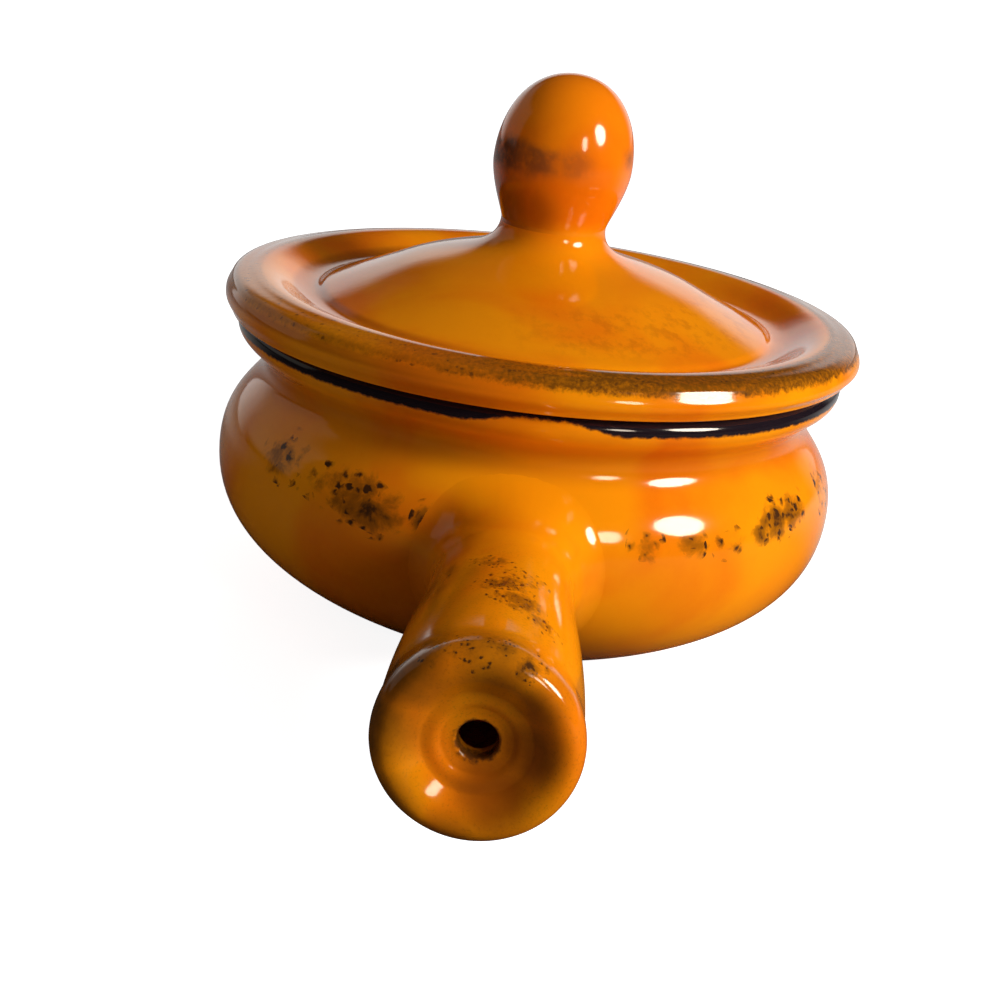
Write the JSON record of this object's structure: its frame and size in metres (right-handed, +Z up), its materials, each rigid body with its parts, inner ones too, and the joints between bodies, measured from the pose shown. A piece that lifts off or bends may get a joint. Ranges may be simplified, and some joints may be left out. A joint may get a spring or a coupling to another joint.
{
  "type": "casserole dish",
  "caption": "Small round-bellied glazed terracotta casserole with a straight hollow side handle and a lift-off lid with a tall rounded knob.",
  "frame": {"origin": "centre of the flat base, on the pot's turning axis", "axes": "+Z up along the pot's turning axis, -Y along the handle from the belly towards the handle's end, +X to the right when the handle points at the viewer"},
  "size_m": [0.16, 0.242, 0.1352],
  "materials": {
    "pot_glaze": "glossy orange glaze over red clay, dark glaze round the lip, bare clay underneath",
    "handle_glaze": "glossy orange glaze with fine dark speckle",
    "lid_glaze": "glossy orange glaze, speckled dark along the rim",
    "knob_glaze": "glossy orange glaze with a smoky dark band"
  },
  "bodies": {
    "pot": {"bowl": "pot_glaze", "handle": "handle_glaze"},
    "cover": {"lid": "lid_glaze", "knob": "knob_glaze"}
  },
  "joints": [
    {"name": "lid_lift", "type": "slide", "parent": "pot", "child": "cover", "axis": [0, 0, 1], "range_m": [0, 0.1]}
  ]
}
